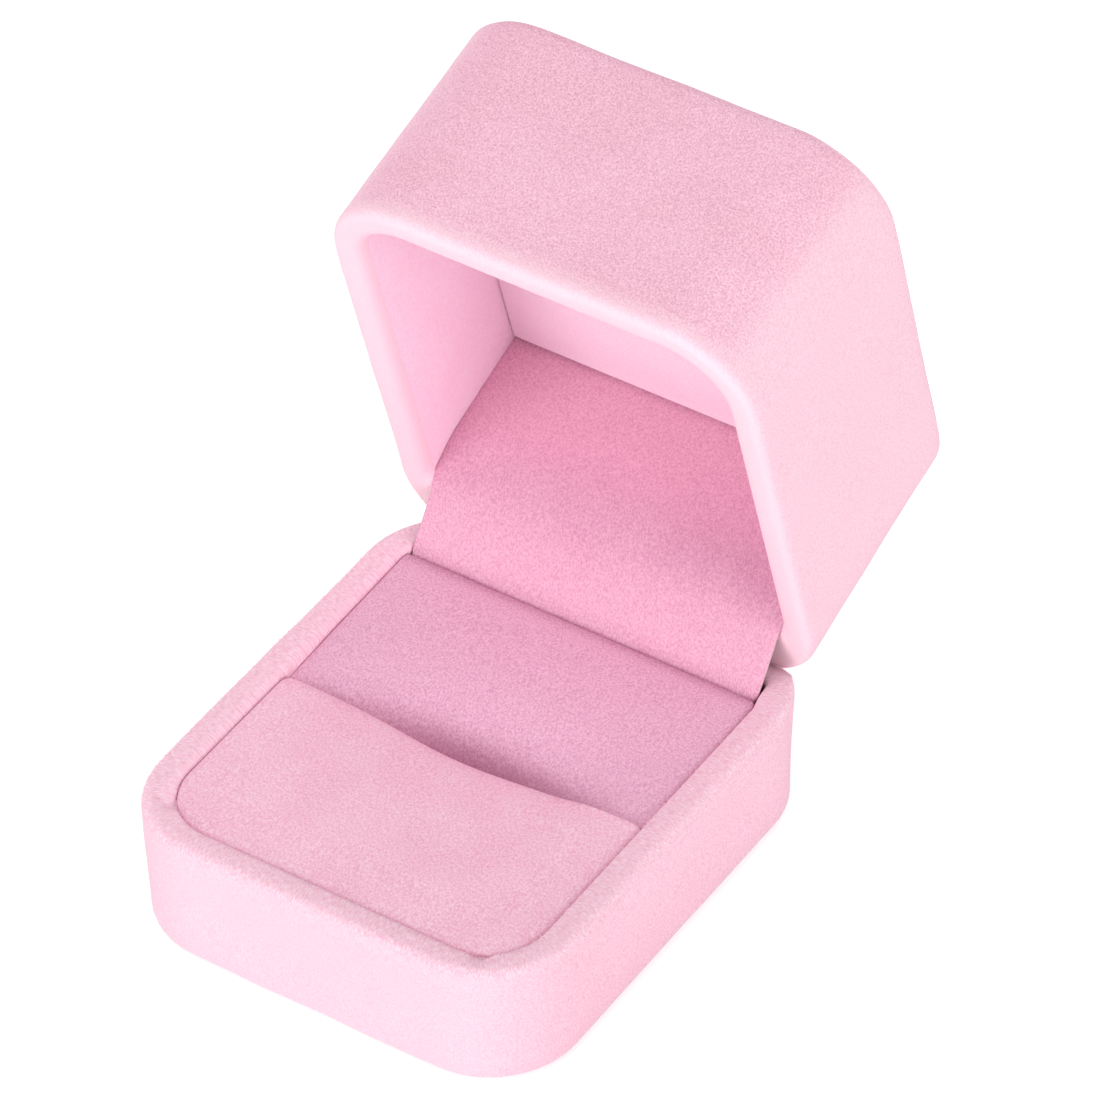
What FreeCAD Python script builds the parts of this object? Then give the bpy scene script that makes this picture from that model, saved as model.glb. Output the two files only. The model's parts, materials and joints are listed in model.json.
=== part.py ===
import FreeCAD
import Part
import math
import os

Vector = FreeCAD.Vector

# Outside of the box in millimetres, velvet included
box_width = 50.0
box_depth = 58.0
base_height = 15.3
lid_height = 27.4
corner_radius = 10.2
base_draft = 0.35  # how much each side of the base steps in at its foot
lid_back_lean = 2.4  # how far the back of the lid leans forward at its top

# Layers of the two tubs
wall = 2.0  # moulded plastic
velvet = 0.8  # cloth glued over the plastic
shell_floor = 1.6
bottom_sheet = 0.5
bottom_sheet_inset = 0.6
wrap_tuck = 5.0  # depth that the base velvet is turned in below the rim
rim_round = 1.6
foot_round = 0.6
lid_top_round = 1.4

# Hinge line
open_angle = 74.4  # from closed to the open stop
rim_gap = 0.4  # between the two rims when closed
hinge_seat = 0.8  # axis to the plastic of the back wall
hinge_drop = 0.4  # axis below the base rim
hinge_well = 5.4  # room between the rear pad and the back wall
stop_gap = 0.3  # between the two back bevels at the open stop

# Metal hinge
hinge_end_gap = 0.3  # ends of the hinge to the start of the round corners
leaf_length = 10.0
leaf_gauge = 0.5
knuckle_radius = 1.1
knuckle_gap = 0.15  # end play between knuckles
hinge_gap = 0.3  # metal to the walls around it
pin_radius = 0.6
pin_clearance = 0.03
pin_head_radius = 0.95
pin_head = 0.3
cam_radius = 1.4  # lobe of the lid's knuckle
cam_angle = 30.0  # where the lobe points when closed
cam_width = 6.0
spring_width = 5.0
spring_gauge = 0.3
spring_foot_gap = 0.4  # end of the spring to the end of its leaf
spring_curl = 0.5  # outside radius of the rolled tip
cam_gap = 0.25  # spring tip to the lobe
rivet_spacing = 20.0
rivet_edge = 2.8  # rivets to the end of their leaf
rivet_radius = 0.7
rivet_head_radius = 1.3
rivet_head = 0.45
rivet_dome = 0.36  # rounding of the head
rivet_depth = 1.4  # shank in the plastic
rivet_clearance = 0.02

# Inside of the base
card = 1.0
pad_velvet = 0.7
pad_gap = 0.25  # pads to the wall around them
pad_round = 1.2
front_pad_drop = 1.0  # top of the pad below the rim
rear_pad_slot_drop = 1.6  # at the slot
rear_pad_back_drop = 0.6  # at the flap
slot_place = -1.0  # from the middle of the depth
slot_gap = 0.8

# Inside of the lid
ceiling_foam = 5.4
ceiling_velvet = 0.6
flap_card = 0.6
flap_velvet = 0.5
flap_side_gap = 0.7  # edge of the flap to the side wall
flap_gap = 0.35  # around the flap
flap_tuck = 0.25  # lower edge below the back of the rear pad
flap_standoff = 10.0  # front of the flap at the lid's ceiling, from the back of the rim
fold_standoff = 8.1  # front of the flap at its fold, from the back of the rim
fold_rise = 2.8  # fold above the lid's rim
fold_round = 4.0  # front of the fold
flap_trim = 2.0  # spare length that is cut off both ends of the flap
pocket_wall = 0.6  # plastic left behind the flap's corners

reach = 2 * (box_width + box_depth)  # longer than anything here, for cutting tools
half_width = box_width / 2
half_depth = box_depth / 2
shell_inset = velvet + wall
rim_width = shell_inset + velvet
inside_back = half_depth - rim_width
hinge_y = half_depth - shell_inset - hinge_seat
hinge_z = base_height - hinge_drop
hinge_point = Vector(0, hinge_y, hinge_z)
along_x = Vector(1, 0, 0)
lid_rim = base_height + rim_gap  # lid rim height when closed
floor_top = bottom_sheet + shell_floor
pad_floor = floor_top + card
front_pad_top = base_height - front_pad_drop
rear_pad_top_front = base_height - rear_pad_slot_drop
rear_pad_top_back = base_height - rear_pad_back_drop
rear_pad_back = inside_back - hinge_well
shell_ceiling = lid_height - shell_inset  # above the lid rim
card_ceiling = shell_ceiling - card
foam_ceiling = card_ceiling - ceiling_foam
pad_ceiling = foam_ceiling - ceiling_velvet
bevel_angle = open_angle / 2
hinge_half = half_width - corner_radius - hinge_end_gap
hinge_width = 2 * hinge_half
notch_half = hinge_half + pin_head + hinge_gap
notch_radius = cam_radius + hinge_gap
rivet_drop = leaf_length - rivet_edge
flap_half = half_width - rim_width - flap_side_gap
flap_gauge = flap_card + flap_velvet
same_level = 1e-4  # heights closer than this are one level


def outline(half, front, back, radius, height):
    """Closed wire of a rectangle with round corners."""
    left, right = -half, half
    diagonal = radius * (1 - math.sqrt(0.5))
    corners = [
        (right, back, -1, -1),
        (left, back, 1, -1),
        (left, front, 1, 1),
        (right, front, -1, 1),
    ]
    arcs = []
    for x, y, inward_x, inward_y in corners:
        along_side = Vector(x, y + inward_y * radius, height)
        along_end = Vector(x + inward_x * radius, y, height)
        middle = Vector(x + inward_x * diagonal, y + inward_y * diagonal, height)
        ends = (along_side, along_end) if inward_x * inward_y > 0 else (along_end, along_side)
        arcs.append((ends[0], middle, ends[1]))
    edges = []
    for index, (start, middle, end) in enumerate(arcs):
        edges.append(Part.Arc(start, middle, end).toShape())
        edges.append(Part.LineSegment(end, arcs[(index + 1) % len(arcs)][0]).toShape())
    return Part.Wire(edges)


def base_block(inset, low, high, draft=base_draft):
    """Solid with the outline of the base, set in by inset, its sides drafted towards the foot."""
    sections = []
    for height in (low, high):
        step = inset + draft * (1 - height / base_height)
        back = half_depth - step
        sections.append(outline(half_width - step, -back, back, corner_radius - inset, height))
    return Part.makeLoft(sections, True, True)


def lid_block(inset, low, high):
    """Solid with the outline of the closed lid, from low to high above its rim."""
    sections = []
    for height in (low, high):
        back = half_depth - inset - lid_back_lean * height / lid_height
        front = -half_depth + inset
        sections.append(outline(half_width - inset, front, back, corner_radius - inset, lid_rim + height))
    return Part.makeLoft(sections, True, True)


def box(half, front, back, low, high):
    """Plain box, even about the middle of the width."""
    return Part.makeBox(2 * half, back - front, high - low, Vector(-half, front, low))


def round_edges(shape, height, radius):
    """Round every edge that lies in the level plane at height."""
    level = []
    for edge in shape.Edges:
        limits = edge.BoundBox
        if max(abs(limits.ZMin - height), abs(limits.ZMax - height)) < same_level:
            level.append(edge)
    return shape.makeFillet(radius, level)


def barrel(start, end, radius):
    """Cylinder on the hinge axis."""
    return Part.makeCylinder(radius, end - start, Vector(start, hinge_y, hinge_z), along_x)


def turned(shape, angle):
    """Copy of a shape, turned about the hinge axis."""
    copy = shape.copy()
    copy.rotate(hinge_point, along_x, angle)
    return copy


def opened(shape):
    """Copy of a shape of the closed lid, moved to its open place."""
    return turned(shape, -open_angle)


def above_bevel(gap):
    """All that lies above the slanted back edge of the base, less a gap."""
    space = box(reach, hinge_y - reach, hinge_y + reach, hinge_z - gap, hinge_z + reach)
    return turned(space, -bevel_angle)


def below_bevel(gap):
    """All that lies below the slanted back edge of the closed lid, less a gap."""
    space = box(reach, hinge_y - reach, hinge_y + reach, hinge_z - reach, hinge_z + gap)
    return turned(space, bevel_angle)


def one_solid(shape):
    """The single solid of a cut or fused shape."""
    shape = shape.removeSplitter()
    return max(shape.Solids, key=lambda solid: solid.Volume)


# Flap that hides the hinge: two panels with a round fold, worked out with the lid closed.
# Open, its foot stands just behind the rear pad.
foot_open = Vector(0, rear_pad_back + flap_gap, rear_pad_top_back - flap_tuck)
foot = hinge_point + FreeCAD.Rotation(along_x, open_angle).multVec(foot_open - hinge_point)
fold = Vector(0, inside_back - fold_standoff, lid_rim + fold_rise)
head = Vector(0, inside_back - flap_standoff, lid_rim + card_ceiling)
lower_up = (fold - foot).normalize()
upper_up = (head - fold).normalize()
lower_back = Vector(0, lower_up.z, -lower_up.y)
upper_back = Vector(0, upper_up.z, -upper_up.y)
fold_back = (lower_back + upper_back) * (1 / (1 + lower_back.dot(upper_back)))
foot_angle = math.degrees(math.atan2(foot.z - hinge_z, foot.y - hinge_y))


def prism(profile, half):
    """Solid of a closed profile in the middle plane, even about the middle of the width."""
    points = [point - along_x * half for point in profile]
    return Part.Face(Part.makePolygon(points + points[:1])).extrude(along_x * (2 * half))


def round_fold(shape, depth):
    """Round the fold's edge that lies depth behind the front of the flap."""
    place = fold + fold_back * depth
    edge = min(shape.Edges, key=lambda candidate: candidate.CenterOfMass.distanceToPoint(place))
    return shape.makeFillet(fold_round - depth, [edge])


def flap_sheet(front, back, half):
    """Folded sheet between two depths behind the flap's front, its foot cut along a ray of the hinge axis."""
    toe = foot - lower_up * flap_trim
    top = head + upper_up * flap_trim
    profile = []
    for depth in (front, back):
        face = [toe + lower_back * depth, fold + fold_back * depth, top + upper_back * depth]
        profile += face if depth == front else face[::-1]
    sheet = round_fold(round_fold(prism(profile, half), front), back)
    above_head = box(reach, -reach, reach, head.z, head.z + reach)
    below_foot = box(reach, hinge_y, hinge_y + reach, hinge_z, hinge_z + reach)
    return one_solid(sheet.cut(above_head).cut(turned(below_foot, foot_angle)))


def flap_layer(front, back):
    """One layer of the flap, its lower corners kept inside the wall of the base."""
    below_rim = box(half_width, 0, half_depth, 0, base_height)
    corners = below_rim.cut(base_block(velvet + pocket_wall + flap_gap, 0, base_height))
    return one_solid(flap_sheet(front, back, flap_half).cut(corners))


def behind_flap(gap):
    """All that lies behind the front of the flap's upper panel, and a gap before it."""
    start = fold - upper_back * gap
    along, deep = upper_up * reach, upper_back * reach
    return prism([start, start + along, start + along + deep, start + deep], reach)


# Room that the metal hinge and the flap need in the walls
barrel_notch = barrel(-notch_half, notch_half, notch_radius)
leaf_zone = box(hinge_half + hinge_gap, rear_pad_back, reach, -reach, reach)
flap_pocket = box(flap_half + flap_gap, 0, inside_back, floor_top, lid_rim)
flap_pocket = flap_pocket.common(base_block(velvet + pocket_wall, 0, lid_rim))
flap_space = flap_sheet(-flap_gap, flap_gauge + flap_gap, flap_half + flap_gap)

# Rivet holes, one pair below the axis and one pair above it
lean_angle = math.degrees(math.atan2(lid_back_lean, lid_height))
lid_seat = hinge_seat + lid_back_lean * (lid_rim - hinge_z) / lid_height
lid_seat = lid_seat * math.cos(math.radians(lean_angle))  # axis to the leaning plastic of the lid


def rivet_row(side, seat, extra):
    """Two rivets through a leaf into the plastic; side is -1 below the axis and 1 above it."""
    row = []
    face = hinge_y + seat - leaf_gauge
    back = Vector(0, 1, 0)
    for x in (-rivet_spacing / 2, rivet_spacing / 2):
        place = Vector(x, face, hinge_z + side * rivet_drop)
        shank = Part.makeCylinder(rivet_radius + extra, leaf_gauge + rivet_depth + extra, place, back)
        dome = Part.makeCylinder(rivet_head_radius, rivet_head, place - back * rivet_head, back)
        rounded = [edge for edge in dome.Edges if edge.BoundBox.YMax < face - rivet_head / 2]
        dome = dome.makeFillet(rivet_dome, rounded)
        row.append(shank.fuse(dome).removeSplitter())
    return row


base_rivets = rivet_row(-1, hinge_seat, 0)
base_rivet_holes = rivet_row(-1, hinge_seat, rivet_clearance)
lid_rivets = [turned(rivet, lean_angle) for rivet in rivet_row(1, lid_seat, 0)]
lid_rivet_holes = [turned(rivet, lean_angle) for rivet in rivet_row(1, lid_seat, rivet_clearance)]


def base_tub():
    """Outer form of the base wall with its round rim, and the plastic shell inside that form."""
    form = round_edges(base_block(0, bottom_sheet, base_height), bottom_sheet, foot_round)
    form = form.cut(base_block(rim_width, 0, lid_rim, 0))
    form = round_edges(form, base_height, rim_round)
    for tool in (above_bevel(stop_gap / 2), barrel_notch, flap_pocket):
        form = form.cut(tool)
    shell = base_block(velvet, bottom_sheet, base_height - velvet)
    shell = shell.cut(base_block(shell_inset, floor_top, base_height, 0))
    for tool in [above_bevel(stop_gap / 2 + velvet), barrel_notch, flap_pocket] + base_rivet_holes:
        shell = shell.cut(tool)
    return form, one_solid(shell)


def base_wrap(form, shell):
    """Velvet round the outside of the base, over the rim and a little way down inside."""
    below_tuck = base_block(shell_inset, 0, base_height - wrap_tuck, 0)
    inside = base_block(shell_inset, 0, base_height, 0)
    return one_solid(form.cut(shell).cut(below_tuck).cut(inside.common(leaf_zone)))


def lid_tub():
    """Outer form of the closed lid with its round rim, and the plastic shell inside that form."""
    form = round_edges(lid_block(0, 0, lid_height), lid_rim + lid_height, lid_top_round)
    form = form.cut(lid_block(rim_width, -rim_gap, shell_ceiling))
    form = round_edges(form, lid_rim, rim_round)
    for tool in (below_bevel(stop_gap / 2), barrel_notch, flap_space):
        form = form.cut(tool)
    shell = lid_block(velvet, velvet, lid_height - velvet)
    shell = shell.cut(lid_block(shell_inset, 0, shell_ceiling))
    for tool in [below_bevel(stop_gap / 2 + velvet), barrel_notch, flap_space] + lid_rivet_holes:
        shell = shell.cut(tool)
    return form, one_solid(shell)


def lid_wrap(form, shell):
    """Velvet over the outside of the lid and round its rim."""
    inside = lid_block(shell_inset, velvet, shell_ceiling)
    rim_inside = lid_block(shell_inset, -rim_gap, shell_ceiling)
    return one_solid(form.cut(shell).cut(inside).cut(rim_inside.common(leaf_zone)))


def lid_lining(form):
    """Strip of lining on the inside walls of the lid, open behind the flap."""
    strip = lid_block(shell_inset, velvet, card_ceiling)
    strip = strip.cut(lid_block(rim_width, 0, shell_ceiling)).common(form)
    return one_solid(strip.cut(leaf_zone))


def pad(front, back, top_front, top_back, skin):
    """Block between the base walls, skin thinner than the pad on every side but its floor."""
    profile = [
        Vector(0, front + skin, pad_floor),
        Vector(0, back - skin, pad_floor),
        Vector(0, back - skin, top_back - skin),
        Vector(0, front + skin, top_front - skin),
    ]
    inset = rim_width + pad_gap + skin
    return one_solid(prism(profile, half_width).common(base_block(inset, pad_floor, base_height, 0)))


def pad_pair(front, back, top_front, top_back):
    """Foam of a pad, and the velvet drawn over it with a rounded top edge."""
    foam = pad(front, back, top_front, top_back, pad_velvet)
    cover = pad(front, back, top_front, top_back, 0)
    top = max(cover.Faces, key=lambda face: face.CenterOfMass.z)
    cover = cover.makeFillet(pad_round, top.Edges)
    return foam, one_solid(cover.cut(foam))


def insert_board():
    """Card that carries both pads on the floor of the base."""
    board = base_block(shell_inset + pad_gap, floor_top, pad_floor, 0)
    return one_solid(board.common(box(half_width, -half_depth, rear_pad_back, 0, base_height)))


def ceiling_layers():
    """Card, foam and velvet under the top of the lid, the pad ending at the flap."""
    board = lid_block(shell_inset + pad_gap, card_ceiling, shell_ceiling)
    foam = lid_block(rim_width + pad_gap + ceiling_velvet, foam_ceiling, card_ceiling)
    foam = foam.cut(behind_flap(flap_gap + ceiling_velvet))
    cover = lid_block(rim_width + pad_gap, pad_ceiling, card_ceiling)
    cover = one_solid(cover.cut(behind_flap(flap_gap)))
    return board, one_solid(foam), one_solid(cover.cut(foam))


# Three knuckles: the base leaf has the outer two, the lid leaf the middle one
third = hinge_width / 3
outer_knuckles = [(-hinge_half, -third / 2 - knuckle_gap), (third / 2 + knuckle_gap, hinge_half)]
middle_knuckle = [(-third / 2, third / 2)]


def leaf(side, seat, own, other):
    """Hinge leaf with its knuckles; side is -1 when it hangs from the axis and 1 when it climbs."""
    low = hinge_z + min(0, side * leaf_length)
    face = hinge_y + seat - leaf_gauge
    plate = box(hinge_half, face, face + leaf_gauge, low, low + leaf_length)
    plate = plate.cut(barrel(-hinge_half, hinge_half, pin_radius + pin_clearance))
    for start, end in other:
        plate = plate.cut(barrel(start - knuckle_gap, end + knuckle_gap, notch_radius))
    for start, end in own:
        knuckle = barrel(start, end, knuckle_radius)
        plate = plate.fuse(knuckle.cut(barrel(start, end, pin_radius + pin_clearance)))
    return plate


def cam():
    """Lobe on the lid's knuckle that the spring works against."""
    half = knuckle_radius / 2
    lobe = box(cam_width / 2, hinge_y - half, hinge_y + half, hinge_z, hinge_z + reach)
    lobe = lobe.common(barrel(-cam_width / 2, cam_width / 2, cam_radius))
    lobe = lobe.cut(barrel(-cam_width, cam_width, pin_radius + pin_clearance))
    return turned(lobe, -cam_angle)


def pin():
    """Hinge pin with a head at each end."""
    shaft = barrel(-hinge_half - pin_head, hinge_half + pin_head, pin_radius)
    for start in (-hinge_half - pin_head, hinge_half):
        shaft = shaft.fuse(barrel(start, start + pin_head, pin_head_radius))
    return one_solid(shaft)


def snap_spring():
    """Flat spring on the base leaf, its rolled tip under the lobe of the lid's knuckle."""
    back = hinge_y + hinge_seat - leaf_gauge
    curl_y = back - spring_curl
    rise = math.sqrt((cam_radius + cam_gap + spring_curl) ** 2 - (hinge_y - curl_y) ** 2)
    curl_z = hinge_z - rise
    half = spring_width / 2
    strip = box(half, back - spring_gauge, back, hinge_z - leaf_length + spring_foot_gap, curl_z)
    centre = Vector(-half, curl_y, curl_z)
    curl = Part.makeCylinder(spring_curl, spring_width, centre, along_x)
    curl = curl.cut(Part.makeCylinder(spring_curl - spring_gauge, spring_width, centre, along_x))
    curl = curl.common(box(half, curl_y - spring_curl, back, curl_z, curl_z + spring_curl))
    return one_solid(strip.fuse(curl))


base_form, base_shell = base_tub()
lid_form, lid_shell = lid_tub()
front_foam, front_velvet = pad_pair(-half_depth, slot_place - slot_gap / 2, front_pad_top, front_pad_top)
rear_foam, rear_velvet = pad_pair(
    slot_place + slot_gap / 2, rear_pad_back, rear_pad_top_front, rear_pad_top_back
)
ceiling_board, ceiling_core, ceiling_cover = ceiling_layers()
base_leaf = leaf(-1, hinge_seat, outer_knuckles, middle_knuckle)
base_leaf = base_leaf.cut(Part.Compound(base_rivet_holes))
lid_leaf = turned(leaf(1, lid_seat, middle_knuckle, outer_knuckles), lean_angle).fuse(cam())
lid_leaf = lid_leaf.cut(Part.Compound(lid_rivet_holes))
sheet_edge = bottom_sheet_inset + foot_round

base_parts = {
    "base_shell": base_shell,
    "base_velvet_wrap": base_wrap(base_form, base_shell),
    "bottom_sheet": base_block(sheet_edge, 0, bottom_sheet),
    "insert_card": insert_board(),
    "front_pad_foam": front_foam,
    "front_pad_velvet": front_velvet,
    "rear_pad_foam": rear_foam,
    "rear_pad_velvet": rear_velvet,
    "hinge_base_leaf": one_solid(base_leaf),
    "hinge_pin": pin(),
    "snap_spring": snap_spring(),
    "base_rivets": Part.Compound(base_rivets),
}
lid_parts = {
    "lid_shell": lid_shell,
    "lid_velvet_wrap": lid_wrap(lid_form, lid_shell),
    "lid_side_lining": lid_lining(lid_form),
    "lid_ceiling_card": ceiling_board,
    "lid_ceiling_foam": ceiling_core,
    "lid_ceiling_velvet": ceiling_cover,
    "flap_card": flap_layer(flap_velvet, flap_gauge),
    "flap_velvet": flap_layer(0, flap_velvet),
    "hinge_lid_leaf": one_solid(lid_leaf),
    "lid_rivets": Part.Compound(lid_rivets),
}

os.makedirs("parts", exist_ok=True)
for name, shape in base_parts.items():
    shape.exportStep("parts/" + name + ".step")
for name, shape in lid_parts.items():
    opened(shape).exportStep("parts/" + name + ".step")
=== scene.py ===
import json
import math
import random

import bmesh
import bpy
from mathutils import Matrix, Vector


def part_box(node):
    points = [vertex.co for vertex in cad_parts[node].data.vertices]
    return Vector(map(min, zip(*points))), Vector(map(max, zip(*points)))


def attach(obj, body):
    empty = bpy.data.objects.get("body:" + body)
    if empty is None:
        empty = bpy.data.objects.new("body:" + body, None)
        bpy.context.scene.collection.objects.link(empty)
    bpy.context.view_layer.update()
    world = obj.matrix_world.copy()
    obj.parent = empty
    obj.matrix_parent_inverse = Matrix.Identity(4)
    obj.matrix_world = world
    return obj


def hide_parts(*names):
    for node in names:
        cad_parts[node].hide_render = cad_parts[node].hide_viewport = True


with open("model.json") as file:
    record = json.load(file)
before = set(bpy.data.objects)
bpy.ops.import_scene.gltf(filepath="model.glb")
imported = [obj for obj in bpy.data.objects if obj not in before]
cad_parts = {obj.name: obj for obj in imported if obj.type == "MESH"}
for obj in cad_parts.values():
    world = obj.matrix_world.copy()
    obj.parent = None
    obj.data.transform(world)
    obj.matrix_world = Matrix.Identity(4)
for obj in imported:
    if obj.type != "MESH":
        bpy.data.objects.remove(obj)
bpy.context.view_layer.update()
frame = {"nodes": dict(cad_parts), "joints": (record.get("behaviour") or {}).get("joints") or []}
bpy.ops.object.select_all(action="DESELECT")
print("frame loaded,", len(frame["nodes"]), "nodes")

mm = 0.001
wrapLow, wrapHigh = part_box("base_velvet_wrap")
halfWidth, halfDepth, rimTop = wrapHigh
footLevel = wrapLow.z  # the paper sheet lies below this
hinge = Vector(frame["joints"][0]["pos_m"])
openAngle = math.radians(frame["joints"][0]["range_deg"][1])

box = {  # what the base and the lid share
    "cornerRadius": 10.2 * mm,
    "cornerSteps": 16,
    "rimWidth": 3.6 * mm,
    "rimRound": 1.2 * mm,  # outer edge of a rim
    "rimGap": 0.4 * mm,  # between the two rims when closed
    "stopGap": 0.3 * mm,  # between the two back bevels when open
    "cloth": 0.72 * mm,
    "hairline": 0.05 * mm,  # places closer than this are one place
    "outerSteps": 6,  # segments of the roundings
    "innerSteps": 5,
    "padSteps": 12,
    "longEdge": 8 * mm,  # longer edges are cut into a grid
    "tallEdge": 6 * mm,
    "cutsAcross": 30,
    "cutsAlong": 40,
    "sharp": math.radians(50),  # steeper edges stay edges
}
insideBack = halfDepth - box["rimWidth"]
hingeRoom = {  # what the wraps leave free
    "barrel": 1.75 * mm,  # round the axis
    "barrelHalf": 15.1 * mm,
    "start": 18.5 * mm,
    "height": 6.0 * mm,  # above and below the axis
}


# Modelling helpers
def addBlock(name, low, high):  # a cube between two corners, left in edit mode
    bpy.ops.object.select_all(action="DESELECT")
    low, high = Vector(low), Vector(high)
    bpy.ops.mesh.primitive_cube_add(size=1, location=(low + high) / 2, scale=high - low)
    piece = bpy.context.object
    piece.name = piece.data.name = name
    bpy.ops.object.transform_apply(location=True, rotation=True, scale=True)
    bpy.ops.object.mode_set(mode="EDIT")
    return piece


def pick(kind, test):  # selects the verts, edges or faces that pass a test
    bpy.ops.mesh.select_mode(type=kind)
    bpy.ops.mesh.select_all(action="DESELECT")
    shape = bmesh.from_edit_mesh(bpy.context.object.data)
    shape.normal_update()
    for part in {"VERT": shape.verts, "EDGE": shape.edges, "FACE": shape.faces}[kind]:
        if test(part):
            part.select_set(True)
    shape.select_flush_mode()
    bmesh.update_edit_mesh(bpy.context.object.data)


def middle(edge):
    return (edge.verts[0].co + edge.verts[1].co) / 2


def runsAlong(edge, axis, shortest):  # long straight edges along one axis
    run = edge.verts[1].co - edge.verts[0].co
    return run.length > shortest and abs(run[axis]) > 0.9 * run.length


def cutLong(axis, shortest, cuts):
    pick("EDGE", lambda edge: runsAlong(edge, axis, shortest))
    bpy.ops.mesh.subdivide(number_cuts=cuts)


def cutGrid(across, along, up):
    cutLong(0, box["longEdge"], across)
    cutLong(1, box["longEdge"], along)
    cutLong(2, box["tallEdge"], up)


def roundUprights(radius, steps, test=lambda edge: True):
    pick("EDGE", lambda edge: runsAlong(edge, 2, 0) and test(edge))
    bpy.ops.mesh.bevel(offset=radius, segments=steps, affect="EDGES")


def roundLevel(up, radius, steps, test=lambda edge: True):  # edges round a level face
    def between(edge):
        levels = sorted(face.normal.z * up for face in edge.link_faces)
        return len(levels) == 2 and levels[1] > 0.99 and levels[0] < 0.8 and test(edge)

    pick("EDGE", between)
    bpy.ops.mesh.bevel(offset=radius, segments=steps, affect="EDGES")


def pastStraight(place):  # how far a place lies beyond the straight edges, across and along
    across = max(abs(place.x) - halfWidth + box["cornerRadius"], 0)
    along = max(abs(place.y) - halfDepth + box["cornerRadius"], 0)
    return across, along


def cornerReach(place):  # distance from the centre of the nearest corner's rounding
    return math.hypot(*pastStraight(place))


def turnInRim(up, depth, innerRound):  # the cloth goes over the rim and a little way down inside
    pick("FACE", lambda face: face.normal.z * up > 0.99)
    bpy.ops.mesh.inset(thickness=box["rimWidth"])
    bpy.ops.mesh.extrude_region_move(TRANSFORM_OT_translate={"value": (0, 0, -up * depth)})
    bpy.ops.mesh.delete(type="FACE")
    halfway = box["cornerRadius"] - box["rimWidth"] / 2
    roundLevel(up, innerRound, box["innerSteps"], lambda edge: cornerReach(middle(edge)) < halfway)
    roundLevel(up, box["rimRound"], box["outerSteps"])


def applyModifier(piece, kind, **settings):
    bpy.context.view_layer.objects.active = piece
    modifier = piece.modifiers.new(kind.lower(), kind)
    for name, value in settings.items():
        setattr(modifier, name, value)
    bpy.ops.object.modifier_apply(modifier=modifier.name)


def thicken(piece, thickness):  # the outside stays where it is
    applyModifier(piece, "SOLIDIFY", thickness=thickness, offset=-1)


def clearHinge(up):  # bevels the back edge and takes the cloth away where hinge and flap pass
    half = openAngle / 2
    outward = Vector((0, math.sin(half), up * math.cos(half)))
    along = Vector((0, math.cos(half), -up * math.sin(half)))
    bpy.ops.mesh.select_all(action="SELECT")
    bpy.ops.mesh.bisect(
        plane_co=hinge - outward * box["stopGap"] / 2, plane_no=outward, use_fill=True, clear_outer=True
    )
    sideways = Vector((1, 0, 0))
    cuts = [(hinge + along * hingeRoom["barrel"], along)]
    cuts += [(sideways * reach, sideways) for reach in (hingeRoom["barrelHalf"], -hingeRoom["barrelHalf"])]
    cuts += [(hinge - Vector((0, hingeRoom["barrel"], 0)), Vector((0, 1, 0)))]
    for place, across in cuts:
        pick("FACE", lambda face: face.calc_center_median().y > hingeRoom["start"])
        bpy.ops.mesh.bisect(plane_co=place, plane_no=across)

    def inTheWay(face):
        place = face.calc_center_median()
        offAxis = math.hypot(place.y - hinge.y, place.z - hinge.z)
        beside = abs(place.x)
        if beside > hingeRoom["barrelHalf"] or abs(place.z - hinge.z) > hingeRoom["height"]:
            return False
        if face.normal.dot(outward) > 0.99:  # the bevel itself
            return offAxis < hingeRoom["barrel"]
        if face.normal.y < -0.9 and place.y > insideBack - mm:
            return True
        return hinge.y - hingeRoom["barrel"] < place.y < halfDepth - box["rimRound"]

    pick("FACE", inTheWay)
    bpy.ops.mesh.delete(type="FACE")


def swingOpen(piece):  # lid pieces are modelled closed, then turned about the hinge
    turn = Matrix.Rotation(-openAngle, 4, "X")
    piece.data.transform(Matrix.Translation(hinge) @ turn @ Matrix.Translation(-hinge))


def smoothStep(value, low, high):
    share = min(max((value - low) / (high - low), 0), 1)
    return share * share * (3 - 2 * share)


def bell(value, width):
    return math.exp(-((value / width) ** 2))


def finishPiece(piece, body, nodes, material):
    if bpy.context.object and bpy.context.object.mode == "EDIT":
        bpy.ops.object.mode_set(mode="OBJECT")
    bpy.ops.object.select_all(action="DESELECT")
    piece.select_set(True)
    bpy.context.view_layer.objects.active = piece
    bpy.ops.object.shade_smooth_by_angle(angle=box["sharp"])
    piece.data.materials.clear()
    piece.data.materials.append(material)
    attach(piece, body)
    if nodes:
        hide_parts(*nodes)
    print(piece.name, "done,", len(piece.data.polygons), "faces")
    return piece


# Materials
def tint(red, green, blue):  # a screen colour, 0 to 255, as the shader's linear colour
    share = [channel / 255 for channel in (red, green, blue)]
    return [((c + 0.055) / 1.055) ** 2.4 for c in share] + [1]


def newMaterial(name):
    material = bpy.data.materials.new(name)
    material.use_nodes = True
    nodes = material.node_tree.nodes
    return material, nodes, material.node_tree.links, nodes["Principled BSDF"]


def noise(nodes, links, place, scale, detail=2.0, roughness=0.5):
    texture = nodes.new("ShaderNodeTexNoise")
    texture.inputs["Scale"].default_value = scale
    texture.inputs["Detail"].default_value = detail
    texture.inputs["Roughness"].default_value = roughness
    links.new(place, texture.inputs["Vector"])
    return texture.outputs["Fac"]


def ramp(nodes, links, source, low, high):  # stretches a grey to 0..1 between two values
    node = nodes.new("ShaderNodeMapRange")
    node.interpolation_type = "SMOOTHSTEP"
    node.inputs["From Min"].default_value = low
    node.inputs["From Max"].default_value = high
    links.new(source, node.inputs["Value"])
    return node.outputs["Result"]


def feed(links, socket, value):  # from another socket or as a constant
    if hasattr(value, "is_linked"):
        links.new(value, socket)
    else:
        socket.default_value = value


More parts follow.
